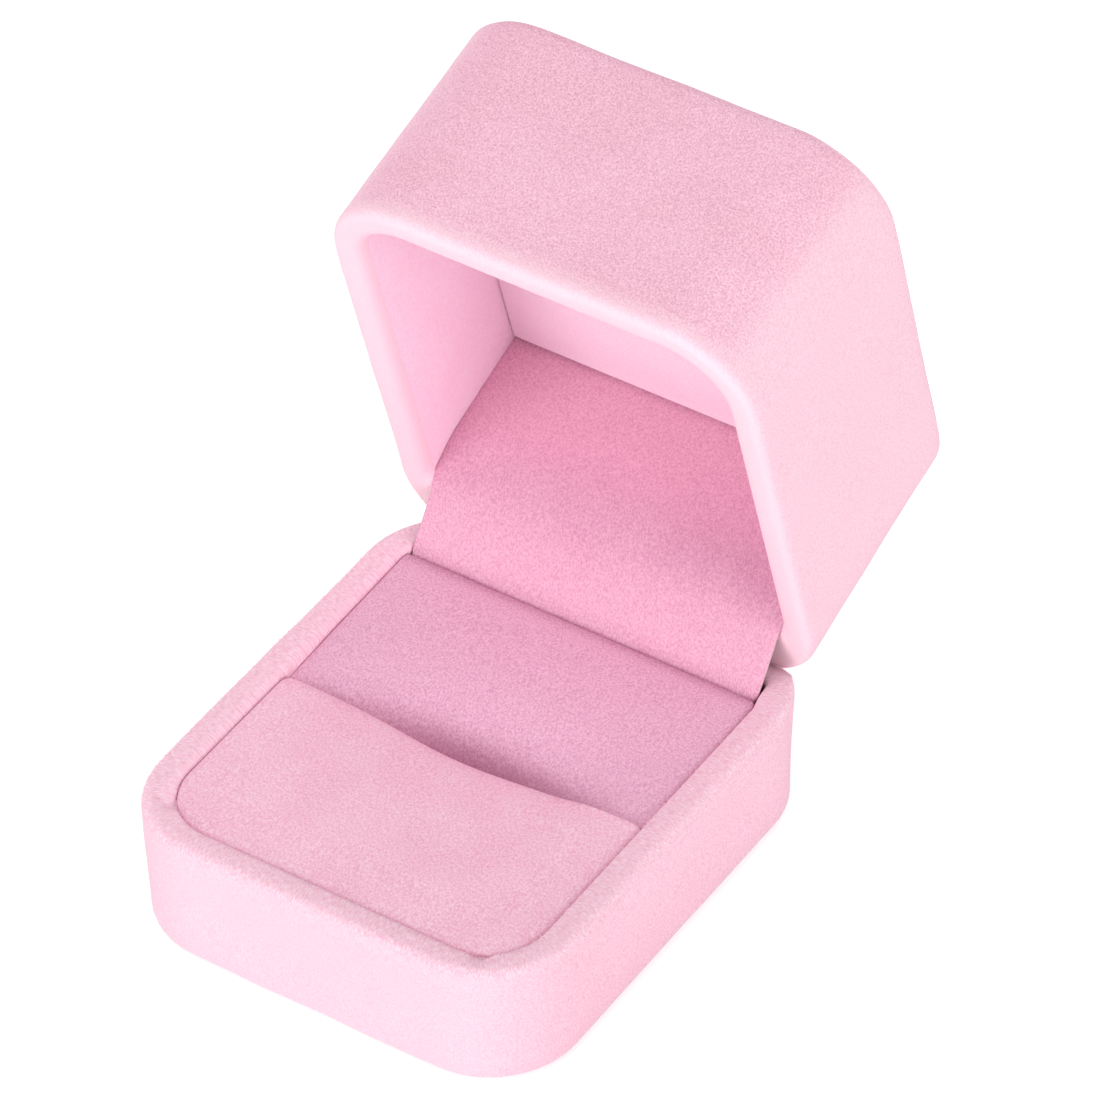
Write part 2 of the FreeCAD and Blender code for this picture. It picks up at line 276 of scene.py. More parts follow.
def blendColours(nodes, links, share, first, second):
    node = nodes.new("ShaderNodeMix")
    node.data_type = "RGBA"
    links.new(share, node.inputs["Factor"])
    for name, colour in (("A", first), ("B", second)):
        feed(links, [s for s in node.inputs if s.name == name and s.type == "RGBA"][0], colour)
    return [s for s in node.outputs if s.type == "RGBA"][0]


def arithmetic(nodes, links, kind, *values):
    node = nodes.new("ShaderNodeMath")
    node.operation = kind
    for socket, value in zip(node.inputs, values):
        feed(links, socket, value)
    return node


def attribute(nodes, name):
    node = nodes.new("ShaderNodeAttribute")
    node.attribute_name = name
    return node


def addBump(nodes, links, shader, height, strength, distance):
    bump = nodes.new("ShaderNodeBump")
    bump.inputs["Strength"].default_value = strength
    bump.inputs["Distance"].default_value = distance
    links.new(height, bump.inputs["Height"])
    links.new(bump.outputs["Normal"], shader.inputs["Normal"])


velvetStuff = {  # what every velvet shares
    "grainRange": (0.25, 0.75),
    "brushedRange": (0.35, 0.65),
    "tuftRange": (0.3, 0.7),
    "ragged": 1.2,  # how unevenly the rim's band ends
    "roughness": 0.95,
    "specular": 0.12,
    "sheenRoughness": 0.4,
    "sheenTint": tint(255, 226, 240),
    "reliefScale": 0.7,
}


def tousledRim(nodes, links, look):  # fibres combed across the rim: their share and their colour
    combed = nodes.new("ShaderNodeMapping")
    combed.inputs["Scale"].default_value = look["rimStrokes"]
    links.new(attribute(nodes, "lie").outputs["Vector"], combed.inputs["Vector"])
    tousle = noise(nodes, links, combed.outputs["Vector"], 1 / look["rimPile"], detail=3, roughness=0.6)
    tufts = ramp(nodes, links, tousle, *velvetStuff["tuftRange"])
    fuzzy = blendColours(nodes, links, tufts, look["rimRoot"], look["rimTip"])
    edge = attribute(nodes, "rim").outputs["Fac"]
    ragged = arithmetic(nodes, links, "MULTIPLY_ADD", tufts, velvetStuff["ragged"], edge)
    share = arithmetic(nodes, links, "MULTIPLY", edge, ragged.outputs[0])
    share.use_clamp = True
    return share.outputs[0], fuzzy


def velvet(name, look):
    material, nodes, links, shader = newMaterial(name)
    place = nodes.new("ShaderNodeTexCoord").outputs["Object"]
    strokes = nodes.new("ShaderNodeMapping")  # short fibres that lie along the depth of the box
    strokes.inputs["Scale"].default_value = look["strokes"]
    links.new(place, strokes.inputs["Vector"])
    fibres = strokes.outputs["Vector"]
    grain = noise(nodes, links, fibres, 1 / look["pile"])
    grain = ramp(nodes, links, grain, *velvetStuff["grainRange"])
    brushed = noise(nodes, links, place, 1 / look["brushing"], detail=3)
    brushed = ramp(nodes, links, brushed, *velvetStuff["brushedRange"])
    fresh = blendColours(nodes, links, grain, look["root"], look["tip"])
    worn = blendColours(nodes, links, grain, look["wornRoot"], look["wornTip"])
    colour = blendColours(nodes, links, brushed, fresh, worn)
    if "palerTip" in look:  # paler where the nap is brushed down and where painted light stands for faces turned to the lamps; deeper where painted shade lies
        napAndShade = attribute(nodes, "napAndShade").outputs["Fac"]
        paler = blendColours(nodes, links, grain, look["palerRoot"], look["palerTip"])
        colour = blendColours(nodes, links, napAndShade, paler, colour)
    if "rimTip" in look:
        share, fuzzy = tousledRim(nodes, links, look)
        colour = blendColours(nodes, links, share, colour, fuzzy)
    links.new(colour, shader.inputs["Base Color"])
    shader.inputs["Roughness"].default_value = velvetStuff["roughness"]
    shader.inputs["Specular IOR Level"].default_value = velvetStuff["specular"]
    shader.inputs["Sheen Weight"].default_value = look["sheen"]
    shader.inputs["Sheen Roughness"].default_value = velvetStuff["sheenRoughness"]
    shader.inputs["Sheen Tint"].default_value = velvetStuff["sheenTint"]
    pile = noise(nodes, links, fibres, velvetStuff["reliefScale"] / look["pile"], detail=4, roughness=0.65)
    addBump(nodes, links, shader, pile, look["relief"], look["pile"])
    return material


lidLook = {
    "pile": 0.17 * mm,
    "strokes": (1.0, 0.75, 0.75),
    "brushing": 9 * mm,
    "root": tint(228, 166, 189),
    "tip": tint(255, 211, 228),
    "wornRoot": tint(226, 162, 185),
    "wornTip": tint(255, 207, 224),
    "palerRoot": tint(249, 212, 224),
    "palerTip": tint(255, 219, 230),
    "sheen": 0.2,
    "relief": 0.3,
}
baseLook = dict(
    lidLook,
    rimPile=0.15 * mm,
    rimStrokes=(1.0, 0.22, 1.0),
    rimRoot=tint(240, 185, 203),
    rimTip=tint(255, 227, 240),
)
frontPadLook = {
    "pile": 0.17 * mm,
    "strokes": (1.0, 0.6, 0.6),
    "brushing": 7 * mm,
    "root": tint(240, 177, 200),
    "tip": tint(255, 219, 234),
    "wornRoot": tint(238, 171, 196),
    "wornTip": tint(255, 213, 230),
    "sheen": 0.2,
    "relief": 0.3,
}
# a darker copy of the front pad's velvet: painted shade for the rear pad under the open lid
shadedRearPadLook = dict(
    frontPadLook,
    root=tint(170, 104, 136),
    tip=tint(196, 132, 162),
    wornRoot=tint(166, 98, 131),
    wornTip=tint(192, 126, 157),
    palerRoot=tint(220, 158, 187),
    palerTip=tint(245, 199, 220),
)
# a darker copy of the front pad's velvet: painted shade for the flap inside the lid
shadedFlapLook = dict(
    frontPadLook,
    root=tint(208, 143, 170),
    tip=tint(232, 178, 201),
    wornRoot=tint(205, 138, 166),
    wornTip=tint(229, 172, 197),
    palerRoot=tint(224, 158, 184),
    palerTip=tint(248, 192, 214),
)
liningLook = dict(
    frontPadLook,
    root=tint(254, 217, 234),
    tip=tint(255, 229, 242),
    wornRoot=tint(253, 214, 232),
    wornTip=tint(255, 226, 240),
)
baseFibreLook = dict(
    frontPadLook,
    root=tint(239, 192, 207),
    tip=tint(255, 234, 243),
    wornRoot=tint(235, 189, 204),
    wornTip=tint(255, 230, 239),
)
lidVelvet = velvet("lidVelvet", lidLook)
baseVelvet = velvet("baseVelvet", baseLook)
frontPadVelvet = velvet("frontPadVelvet", frontPadLook)
shadedRearPadVelvet = velvet("shadedRearPadVelvet", shadedRearPadLook)
shadedFlapVelvet = velvet("shadedFlapVelvet", shadedFlapLook)
liningVelvet = velvet("liningVelvet", liningLook)
baseFibres = velvet("baseFibres", baseFibreLook)


def brush(piece, name, rule):  # notes at each point how the pile lies there
    layer = piece.data.attributes.new(name, "FLOAT", "POINT")
    for point in piece.data.vertices:
        layer.data[point.index].value = rule(point.co, point.normal)


# Loose fibres that stand off the rim
fibre = {
    "seed": 11,
    "thick": 0.035 * mm,
    "sunk": 0.06 * mm,  # its root goes into the cloth
    "stray": 0.45,
}


def outwardAt(place):  # away from the middle of the box, square to its outline
    across, along = pastStraight(place)
    return Vector((math.copysign(across, place.x), math.copysign(along, place.y), 0)).normalized()


def somewhereOn(corners, draw):
    if len(corners) == 4:
        across, along = draw.random(), draw.random()
        near = corners[0].lerp(corners[1], across)
        return near.lerp(corners[3].lerp(corners[2], across), along)
    weights = [draw.random() for corner in corners]
    return sum((corner * weight for corner, weight in zip(corners, weights)), Vector()) / sum(weights)


def growFibres(name, cloth, perArea, lengths, lieAt):
    draw = random.Random(fibre["seed"])
    points, faces = [], []
    for face in sorted(cloth.data.polygons, key=lambda face: sorted(face.vertices)):
        lie = lieAt(face.center, face.normal)
        if lie is None:
            continue
        order = list(face.vertices)
        start = order.index(min(order))  # the mesher's own order isn't the same in every run
        corners = [cloth.data.vertices[index].co for index in order[start:] + order[:start]]
        wanted = face.area * perArea
        for count in range(int(wanted) + (draw.random() < wanted % 1)):
            root = somewhereOn(corners, draw)
            stray = Vector([draw.uniform(-1, 1) for axis in range(3)]) * fibre["stray"]
            run = (lie + stray).normalized()
            side = run.orthogonal().normalized() * fibre["thick"]
            other = run.cross(side)
            first = len(points)
            for turn in (0, 2 * math.pi / 3, 4 * math.pi / 3):
                points.append(root - run * fibre["sunk"] + side * math.cos(turn) + other * math.sin(turn))
            points.append(root + run * draw.uniform(*lengths))
            tip = first + 3
            faces += [(first + n, first + (n + 1) % 3, tip) for n in range(3)]
            faces.append((first, first + 2, first + 1))
    mesh = bpy.data.meshes.new(name)
    mesh.from_pydata(points, [], faces)
    piece = bpy.data.objects.new(name, mesh)
    bpy.context.scene.collection.objects.link(piece)
    return piece


# Velvet round the base
baseWrap = {
    "foot": 0.6 * mm,
    "draft": 0.35 * mm,  # each side steps in at the foot
    "tuck": 1.9 * mm,
    "innerRound": 1.0 * mm,
    "wallNapAndShade": 0.35,
    "wander": 0.22 * mm,  # hand-wrapped unevenness
    "wanderSize": 9 * mm,
    "flapSide": 21.06 * mm,  # the rim's back corners stand clear of the flap
    "flapFree": (2.3 * mm, 2.6 * mm),  # nearer the hinge's axis the flap never comes
    "crowd": 0.8,  # how far the cloth is pushed up beside the flap
    "crowdAlong": (19.4 * mm, 20.6 * mm),
    "footSteps": 3,
    "cutsUp": 8,
    "sideNapAndShade": 0.3,  # more on the sides: painted shade on walls that face sideways, together with the nap
    "rimFacing": (0.15, 0.85),  # the tousled band by how far the cloth faces up
    "rimInside": 2 * mm,
    "insideFacing": 0.7,
    "fibresPerArea": 14 / mm**2,
    "fibreLengths": (0.18 * mm, 0.36 * mm),
    "fibreBand": 0.9 * mm,  # down from the top of the rim
    "fibreFacing": 0.25,
    "combOut": 0.7,
    "combIn": -0.3,
    "combUp": 0.45,
    "darts": (  # where the cloth is gathered at the rim's inner edge: place, depth, width
        ((-20.1 * mm, -23.5 * mm), 0.7 * mm, 0.9 * mm),
        ((17.8 * mm, -24.8 * mm), 0.7 * mm, 0.9 * mm),
    ),
}
wander = bpy.data.textures.new("handWrap", "CLOUDS")
wander.noise_scale = baseWrap["wanderSize"]
wander.noise_depth = 1


def wobble(piece, size):  # uneven outside, true where the pads meet it
    loose = piece.vertex_groups.new(name="loose")
    tight = box["cornerRadius"] - box["rimWidth"] + box["hairline"]
    for point in piece.data.vertices:
        loose.add([point.index], smoothStep(cornerReach(point.co), tight, tight + 2 * mm), "REPLACE")
    applyModifier(
        piece, "DISPLACE", texture=wander, strength=size, texture_coords="LOCAL", vertex_group=loose.name
    )
    piece.vertex_groups.clear()


def reshape(piece, move):  # moves every point by a rule
    for point in piece.data.vertices:
        point.co = move(point.co.copy())
    piece.data.update()


def clearFlap(point):  # the rim keeps out of the flap's way and crowds up beside it
    if point.y < hingeRoom["start"] or cornerReach(point) > box["cornerRadius"] - box["rimRound"]:
        return point
    beside = abs(point.x)
    if hingeRoom["barrelHalf"] < beside < baseWrap["flapSide"]:
        offAxis = math.hypot(point.y - hinge.y, point.z - hinge.z)
        share = smoothStep(offAxis, *baseWrap["flapFree"])
        beside += share * (baseWrap["flapSide"] - beside)
    spare = beside - baseWrap["flapSide"]
    if 0 < spare < baseWrap["innerRound"] and point.z > rimTop - baseWrap["innerRound"]:
        crowd = baseWrap["crowd"] * smoothStep(point.y, *baseWrap["crowdAlong"])
        beside -= crowd * spare * (1 - spare / baseWrap["innerRound"])
    point.x = math.copysign(beside, point.x)
    return point


def sewDarts(point):  # small gathers along the rim
    if cornerReach(point) > box["cornerRadius"] - box["rimWidth"] / 3 or point.z < rimTop - mm:
        return point
    for (x, y), depth, width in baseWrap["darts"]:
        away = math.hypot(point.x - x, point.y - y)
        pull = depth * bell(away, width)
        point += Vector((x, y, 0)).normalized() * pull / 2 - Vector((0, 0, pull))
    return point


def outlineRun(place):  # way round the outline from the middle of the back
    across = abs(place.x)
    straight, bend = halfWidth - box["cornerRadius"], box["cornerRadius"]
    side, quarter = halfDepth - box["cornerRadius"], bend * math.pi / 2
    if place.y > side and across < straight:
        run = across
    elif place.y > side:
        run = straight + bend * math.atan2(across - straight, place.y - side)
    elif place.y > -side:
        run = straight + quarter + side - place.y
    elif across > straight:
        run = straight + quarter + 2 * side + bend * math.atan2(-side - place.y, across - straight)
    else:
        run = straight + 2 * quarter + 2 * side + straight - across
    return math.copysign(run, place.x)


def lieOnRim(piece):  # a map of the rim, round it and across it
    layer = piece.data.attributes.new("lie", "FLOAT_VECTOR", "POINT")
    for point in piece.data.vertices:
        layer.data[point.index].vector = (outlineRun(point.co), cornerReach(point.co) - point.co.z, 0)


# nap tone with painted light and shade: walls facing front and back stay paler, walls facing the sides are
# painted deeper
def napAndLightOfBase(place, normal):
    return baseWrap["wallNapAndShade"] + baseWrap["sideNapAndShade"] * normal.x**2


def rimOfBase(place, normal):
    facesIn = normal.x * place.x + normal.y * place.y < 0 and normal.z < baseWrap["insideFacing"]
    if facesIn and place.z > rimTop - baseWrap["rimInside"]:
        return 1
    return smoothStep(normal.z, *baseWrap["rimFacing"])


def makeBaseWrap():
    piece = addBlock("baseWrap", (-halfWidth, -halfDepth, footLevel), (halfWidth, halfDepth, rimTop))
    roundUprights(box["cornerRadius"], box["cornerSteps"])
    roundLevel(-1, baseWrap["foot"], baseWrap["footSteps"])
    pick("FACE", lambda face: face.normal.z < -0.99)
    bpy.ops.mesh.delete(type="FACE")
    pick("VERT", lambda point: point.co.z < footLevel + baseWrap["foot"] + box["hairline"])
    stepIn = (1 - baseWrap["draft"] / halfWidth, 1 - baseWrap["draft"] / halfDepth, 1)
    bpy.ops.transform.resize(value=stepIn, center_override=(0, 0, 0))
    turnInRim(1, baseWrap["tuck"], baseWrap["innerRound"])
    cutGrid(box["cutsAcross"], box["cutsAlong"], baseWrap["cutsUp"])
    clearHinge(1)
    bpy.ops.object.mode_set(mode="OBJECT")
    reshape(piece, clearFlap)
    reshape(piece, sewDarts)
    wobble(piece, baseWrap["wander"])
    thicken(piece, box["cloth"])
    brush(piece, "napAndShade", napAndLightOfBase)
    brush(piece, "rim", rimOfBase)
    lieOnRim(piece)
    finishPiece(piece, "base", ["base_velvet_wrap"], baseVelvet)
    return piece


def lieOfBase(place, normal):  # which way a fibre points, on the rim only
    low = place.z < rimTop - baseWrap["fibreBand"]
    if low or normal.z < baseWrap["fibreFacing"] or place.y > hingeRoom["start"]:
        return None
    inside = cornerReach(place) < box["cornerRadius"] - box["rimWidth"] + baseWrap["innerRound"] / 2
    comb = baseWrap["combIn"] if inside else baseWrap["combOut"]
    return outwardAt(place) * comb + normal * baseWrap["combUp"]


def makeBaseFibres(cloth):
    piece = growFibres(
        "baseRimFibres", cloth, baseWrap["fibresPerArea"], baseWrap["fibreLengths"], lieOfBase
    )
    return finishPiece(piece, "base", [], baseFibres)


makeBaseFibres(makeBaseWrap())

# Velvet over the lid
lidWrap = {
    "height": 27.4 * mm,
    "topRound": 1.4 * mm,
    "backLean": 2.4 * mm,
    "turnIn": 1.65 * mm,
    "innerRound": 1.5 * mm,
    "cornerFill": 2.2 * mm,  # the rim is wider at the back corners
    "wallNapAndShade": 0.42,
    "rimBand": (1.3 * mm, 2.9 * mm),  # paler this far up the front, where the nap is brushed down and painted light stands for the open lid's rim facing the lamps
    "frontFacing": (0.35, 0.9),
    "rimFacing": (-0.9, -0.3),
    "topSteps": 4,
    "cutsUp": 16,
}
lidRim = rimTop + box["rimGap"]
lidTop = lidRim + lidWrap["height"]


def leanBack():  # the back of the lid leans forward towards its top
    pick("VERT", lambda point: point.co.y > 0 and point.co.z > (lidRim + lidTop) / 2)
    bpy.ops.transform.translate(value=(0, -lidWrap["backLean"], 0))


def napAndLightOfLid(place, normal):  # deeper on the front, paler elsewhere and palest on the rim: nap, and painted light and shade by how each face turns to the lamps with the lid open
    if place.z < lidRim + 2 * lidWrap["turnIn"] and normal.x * place.x + normal.y * place.y < 0:
        return 0
    front = smoothStep(-normal.y, *lidWrap["frontFacing"])
    front *= smoothStep(place.z - lidRim, *lidWrap["rimBand"])
    return max(front, lidWrap["wallNapAndShade"] * smoothStep(normal.z, *lidWrap["rimFacing"]))


def fillCorner(point):  # the cloth is bunched inside the back corners, near the rim
    across = abs(point.x) - halfWidth + box["cornerRadius"]
    along = point.y - halfDepth + box["cornerRadius"]
    if across <= 0 or along <= 0:
        return point
    reach = math.hypot(across, along)
    bend = box["cornerRadius"]
    inner = smoothStep(reach, bend - box["rimRound"], bend - box["rimWidth"])
    low = smoothStep(point.z - lidRim, 3 * lidWrap["turnIn"], lidWrap["turnIn"])
    shift = lidWrap["cornerFill"] * low * inner * 2 * across * along / reach**2
    return point - Vector((math.copysign(across, point.x), along, 0)) * shift / reach


def makeLidWrap():
    piece = addBlock("lidWrap", (-halfWidth, -halfDepth, lidRim), (halfWidth, halfDepth, lidTop))
    roundUprights(box["cornerRadius"], box["cornerSteps"])
    leanBack()
    roundLevel(1, lidWrap["topRound"], lidWrap["topSteps"])
    turnInRim(-1, lidWrap["turnIn"], lidWrap["innerRound"])
    cutGrid(box["cutsAcross"], box["cutsAlong"], lidWrap["cutsUp"])
    clearHinge(-1)
    bpy.ops.object.mode_set(mode="OBJECT")
    reshape(piece, fillCorner)
    wobble(piece, baseWrap["wander"])
    thicken(piece, box["cloth"])
    brush(piece, "napAndShade", napAndLightOfLid)
    swingOpen(piece)
    finishPiece(piece, "lid", ["lid_velvet_wrap"], lidVelvet)
    return piece


makeLidWrap()

# Lining on the inside walls of the lid
lidLining = {
    "start": 1.5 * mm,  # above the rim, behind the end of the turned-in cloth
    "end": 23.6 * mm,
    "backHalf": 15.7 * mm,  # it ends behind the flap
    "under": 0.06 * mm,  # how far its lower edge is pushed back there
    "underHeight": 1 * mm,
    "cuts": (16, 20, 12),
    "wander": 0.15 * mm,
}


def makeLidLining():
    inset = box["rimWidth"]
    low, high = lidRim + lidLining["start"], lidRim + lidLining["end"]
    halfway = (low + high) / 2
    side = halfWidth - inset
    piece = addBlock("lidLining", (-side, inset - halfDepth, low), (side, insideBack, high))
    roundUprights(box["cornerRadius"] - inset, box["padSteps"])
    for level in (low, high):
        pick("VERT", lambda point: point.co.y > 0 and (point.co.z - halfway) * (level - halfway) > 0)
        lean = lidWrap["backLean"] * (level - lidRim) / lidWrap["height"]
        bpy.ops.transform.translate(value=(0, -lean, 0))

    def behindFlap(face):
        place = face.calc_center_median()
        return place.y > 0 and abs(place.x) < lidLining["backHalf"]

    pick("FACE", lambda face: abs(face.normal.z) > 0.9 or face.normal.y > 0.99)  # open at both ends
    bpy.ops.mesh.delete(type="FACE")
    pick("FACE", behindFlap)
    bpy.ops.mesh.delete(type="FACE")
    pick("FACE", lambda face: True)
    bpy.ops.mesh.flip_normals()
    cutGrid(*lidLining["cuts"])
    bpy.ops.object.mode_set(mode="OBJECT")
    applyModifier(piece, "DISPLACE", texture=wander, strength=lidLining["wander"], texture_coords="LOCAL")

    def tuckUnder(point):
        if point.z < low + lidLining["underHeight"]:
            point += Vector((point.x, point.y, 0)).normalized() * lidLining["under"]
        return fillCorner(point)

    reshape(piece, tuckUnder)
    thicken(piece, box["cloth"])
    swingOpen(piece)
    finishPiece(piece, "lid", ["lid_side_lining"], liningVelvet)
    return piece


makeLidLining()

# Flap that hides the hinge, two panels with a soft fold
flapFace = {
    "half": 21.0 * mm,  # a little wider than its card
    "flare": 0.38 * mm,  # it meets the lining inside the lid
    "flareFrom": lidRim - 0.3 * mm,
    "flareTo": lidRim + 1.3 * mm,
    "footNarrow": 0.3 * mm,  # its foot's corners pass the base's corners
    "footTaper": 0.9 * mm,
    "cloth": 0.5 * mm,
    "foot": Vector((0, 24.763, 9.57)) * mm,  # front face, lid closed
    "fold": Vector((0, 17.3, 18.5)) * mm,
    "head": Vector((0, 15.4, 39.3)) * mm,
    "foldRound": 12.0 * mm,
    "foldSteps": 8,
    "edgeRound": 0.18 * mm,
    "edgeSteps": 2,
    "cutsAcross": 40,
    "cutsAlong": 12,
    "panelEdge": 4 * mm,  # longer edges are cut
    # painted shade on the flap: along the fold, on the right side and at the foot
    "foldShade": 0.75,
    "asideShade": 0.6,
    "foldShadeReach": 4.0 * mm,
    "footShade": 2.2 * mm,
    "wander": 0.14 * mm,
}


def makeFlapFace():
    foot, fold, head = flapFace["foot"], flapFace["fold"], flapFace["head"]
    lower, upper = fold - foot, head - fold
    turn = lower.angle(upper)
    setBack = flapFace["foldRound"] * math.tan(turn / 2)
    bpy.ops.object.select_all(action="DESELECT")
    bpy.ops.mesh.primitive_plane_add(size=1)
    piece = bpy.context.object
    piece.name = piece.data.name = "flapFace"
    lean = Matrix.Rotation(math.atan2(lower.z, lower.y), 4, "X")
    panel = Matrix.Diagonal((2 * flapFace["half"], lower.length, 1, 1))
    piece.data.transform(Matrix.Translation((foot + fold) / 2) @ lean @ panel)
    bpy.ops.object.mode_set(mode="EDIT")
    pick("EDGE", lambda edge: (middle(edge) - fold).length < box["hairline"])
    bpy.ops.mesh.extrude_region_move(TRANSFORM_OT_translate={"value": upper})
    pick("EDGE", lambda edge: (middle(edge) - fold).length < box["hairline"])
    bpy.ops.mesh.bevel(offset=setBack, segments=flapFace["foldSteps"], affect="EDGES")
    cutLong(0, box["longEdge"], flapFace["cutsAcross"])
    pick("EDGE", lambda edge: edge.calc_length() > flapFace["panelEdge"])
    bpy.ops.mesh.subdivide(number_cuts=flapFace["cutsAlong"])
    bpy.ops.object.mode_set(mode="OBJECT")

    def flare(point):
        share = smoothStep(point.z, flapFace["flareFrom"], flapFace["flareTo"])
        taper = smoothStep(point.z - foot.z, flapFace["footTaper"], 0)
        point.x *= 1 + (flapFace["flare"] * share - flapFace["footNarrow"] * taper) / flapFace["half"]
        return point

    def shadeOfFlap(place, normal):  # painted shade: darker along the fold, on the right beside the lid's wall and at the foot's crease
        aside = smoothStep(place.x, 0, flapFace["half"]) * smoothStep(place.z, lidRim, fold.z)
        atFoot = smoothStep(place.z - foot.z, flapFace["footShade"], 0)
        atFold = bell(place.z - fold.z, flapFace["foldShadeReach"])
        return min(flapFace["foldShade"] * atFold + flapFace["asideShade"] * aside + atFoot, 1)

    reshape(piece, flare)
    applyModifier(piece, "DISPLACE", texture=wander, strength=flapFace["wander"], texture_coords="LOCAL")
    thicken(piece, flapFace["cloth"])
    bpy.ops.object.mode_set(mode="EDIT")
    pick("EDGE", lambda edge: len(edge.link_faces) == 2 and edge.calc_face_angle() > 1)
    bpy.ops.mesh.bevel(offset=flapFace["edgeRound"], segments=flapFace["edgeSteps"], affect="EDGES")
    bpy.ops.object.mode_set(mode="OBJECT")
    brush(piece, "napAndShade", shadeOfFlap)
    swingOpen(piece)
    finishPiece(piece, "lid", ["flap_velvet"], shadedFlapVelvet)
    return piece


makeFlapFace()


# Pads: foam under velvet, blown up a little by a cloth simulation
padding = {
    "cell": 0.8 * mm,  # grid that the solver works on
    "nearest": 0.15 * mm,  # a cut this close to a point goes through it
    "levels": (6 * mm, 9 * mm, 11 * mm, 12.6 * mm),  # rows down the sides
    "simScale": 10,  # the solver is steadier on a larger pad
    "frames": 20,
    "pressure": 4.0,
    "quality": 6,
    "mass": 0.3,
    "stiffness": 20,
    "bending": 2,
    "fill": 0.8,
    "border": 0.6 * mm,  # edge that the glue line holds
    "inRim": 0.01 * mm,  # play between a pad and the rim round it
    "edge": 1.1 * mm,  # a pad falls away a little along its edge
    "edgeDrop": 0.3 * mm,
    "edgeSteps": 3,
}
padHalf = halfWidth - box["rimWidth"] - padding["inRim"]
padFront = padding["inRim"] + box["rimWidth"] - halfDepth
padCorner = box["cornerRadius"] - box["rimWidth"] - padding["inRim"]


def roundEnd(level, radius, steps):  # the uprights at one end of a pad
    roundUprights(radius, steps, lambda edge: abs(middle(edge).y - level) < mm)


def evenly(low, high):  # places of the grid's cuts between two sides
    count = round((high - low) / padding["cell"])
    return [low + (high - low) * step / count for step in range(1, count)]


def cutAcross(axis, places):
    across = Vector([float(n == axis) for n in range(3)])
    for place in places:
        bpy.ops.mesh.select_all(action="SELECT")
        bpy.ops.mesh.bisect(plane_co=across * place, plane_no=across, threshold=padding["nearest"])


def gridded(piece, low, high, levels):
    cutAcross(0, evenly(low.x, high.x))
    cutAcross(1, evenly(low.y, high.y))
    cutAcross(2, levels)
    bpy.ops.mesh.select_all(action="SELECT")
    bpy.ops.mesh.remove_doubles(threshold=padding["nearest"] / 3)
    bpy.ops.object.mode_set(mode="OBJECT")


def borderOf(point, low, high):  # distance in from a pad's outline, whose front corners are round
    across = max(low.x + padCorner - point.x, point.x - high.x + padCorner)
    along = low.y + padCorner - point.y
    if across > 0 and along > 0:
        return padCorner - math.hypot(across, along)
    return min(point.x - low.x, high.x - point.x, point.y - low.y, high.y - point.y)


def edgeFall(point, low, high):
    inward = max(borderOf(point, low, high), 0)
    return padding["edgeDrop"] * max(1 - inward / padding["edge"], 0) ** 2


def freeFace(point, low, high, sunk, depth):  # 1 on a pad's face, 0 at its border and lower down
    inward = smoothStep(borderOf(point, low, high), padding["border"], 5 * padding["border"])
    return inward * smoothStep(-sunk, -depth, -depth / 2)


def plump(piece, free, reach):  # swells the free points, none by more than reach
    scene = bpy.context.scene
    piece.data.transform(Matrix.Scale(padding["simScale"], 4))
    start = [point.co.copy() for point in piece.data.vertices]
    group = piece.vertex_groups.new(name="held")
    for point in piece.data.vertices:
        group.add([point.index], 1 - free(point.co / padding["simScale"]), "REPLACE")
    bpy.context.view_layer.objects.active = piece
    cloth = piece.modifiers.new("cloth", "CLOTH")
    cloth.settings.quality = padding["quality"]
    cloth.settings.mass = padding["mass"]
    cloth.settings.tension_stiffness = padding["stiffness"]
    cloth.settings.compression_stiffness = padding["stiffness"]
    cloth.settings.bending_stiffness = padding["bending"]
    cloth.settings.use_pressure = True
    cloth.settings.uniform_pressure_force = padding["pressure"]
    cloth.settings.vertex_group_mass = "held"
    cloth.settings.effector_weights.gravity = 0
    cloth.point_cache.frame_start, cloth.point_cache.frame_end = 1, padding["frames"]
    for step in range(1, padding["frames"] + 1):
        scene.frame_set(step)
    bpy.ops.object.modifier_apply(modifier=cloth.name)
    scene.frame_set(1)
    limit = reach * padding["simScale"]
    most = 0
    for point, before in zip(piece.data.vertices, start):
        moved = point.co - before
        most = max(most, moved.length)
        if moved.length > limit:
            point.co = before + moved * (limit / moved.length)
    piece.vertex_groups.clear()
    piece.data.transform(Matrix.Scale(1 / padding["simScale"], 4))
    print(piece.name, "swelled by up to", round(most / padding["simScale"] / mm, 2), "mm")


def finishPad(piece, body, nodes, material):
    applyModifier(piece, "SUBSURF", levels=1, render_levels=1)
    finishPiece(piece, body, nodes, material)


frontPad = {
    "top": 14.95 * mm,
    "slotCorners": (1.8 * mm, 0.5 * mm),  # left and right
    "slotSteps": 6,
    "edgeRound": 0.25 * mm,
    "lipPlace": -1.2 * mm,
    "lipBow": 1.3 * mm,  # the lip is pressed forward in the middle
    "bowMiddle": 0.5 * mm,
    "bowReach": 10.0 * mm,
    "lipDepth": 7.0 * mm,  # how far from the slot the pressing is felt
    "lipLift": (6 * mm, 1 * mm),  # below the top, where the pressing starts and is full
    "lipRound": 1.6 * mm,
    "lipDrop": 0.5 * mm,
    "slotEnd": (11.0 * mm, 18.0 * mm),  # the slot closes towards the right
    "heldBelow": 2.2 * mm,  # lower down the foam fills the cover and holds it
    "swell": 0.4 * mm,
}


def slotClosing(point):  # 1 where the slot is shut
    return smoothStep(point.x, *frontPad["slotEnd"])


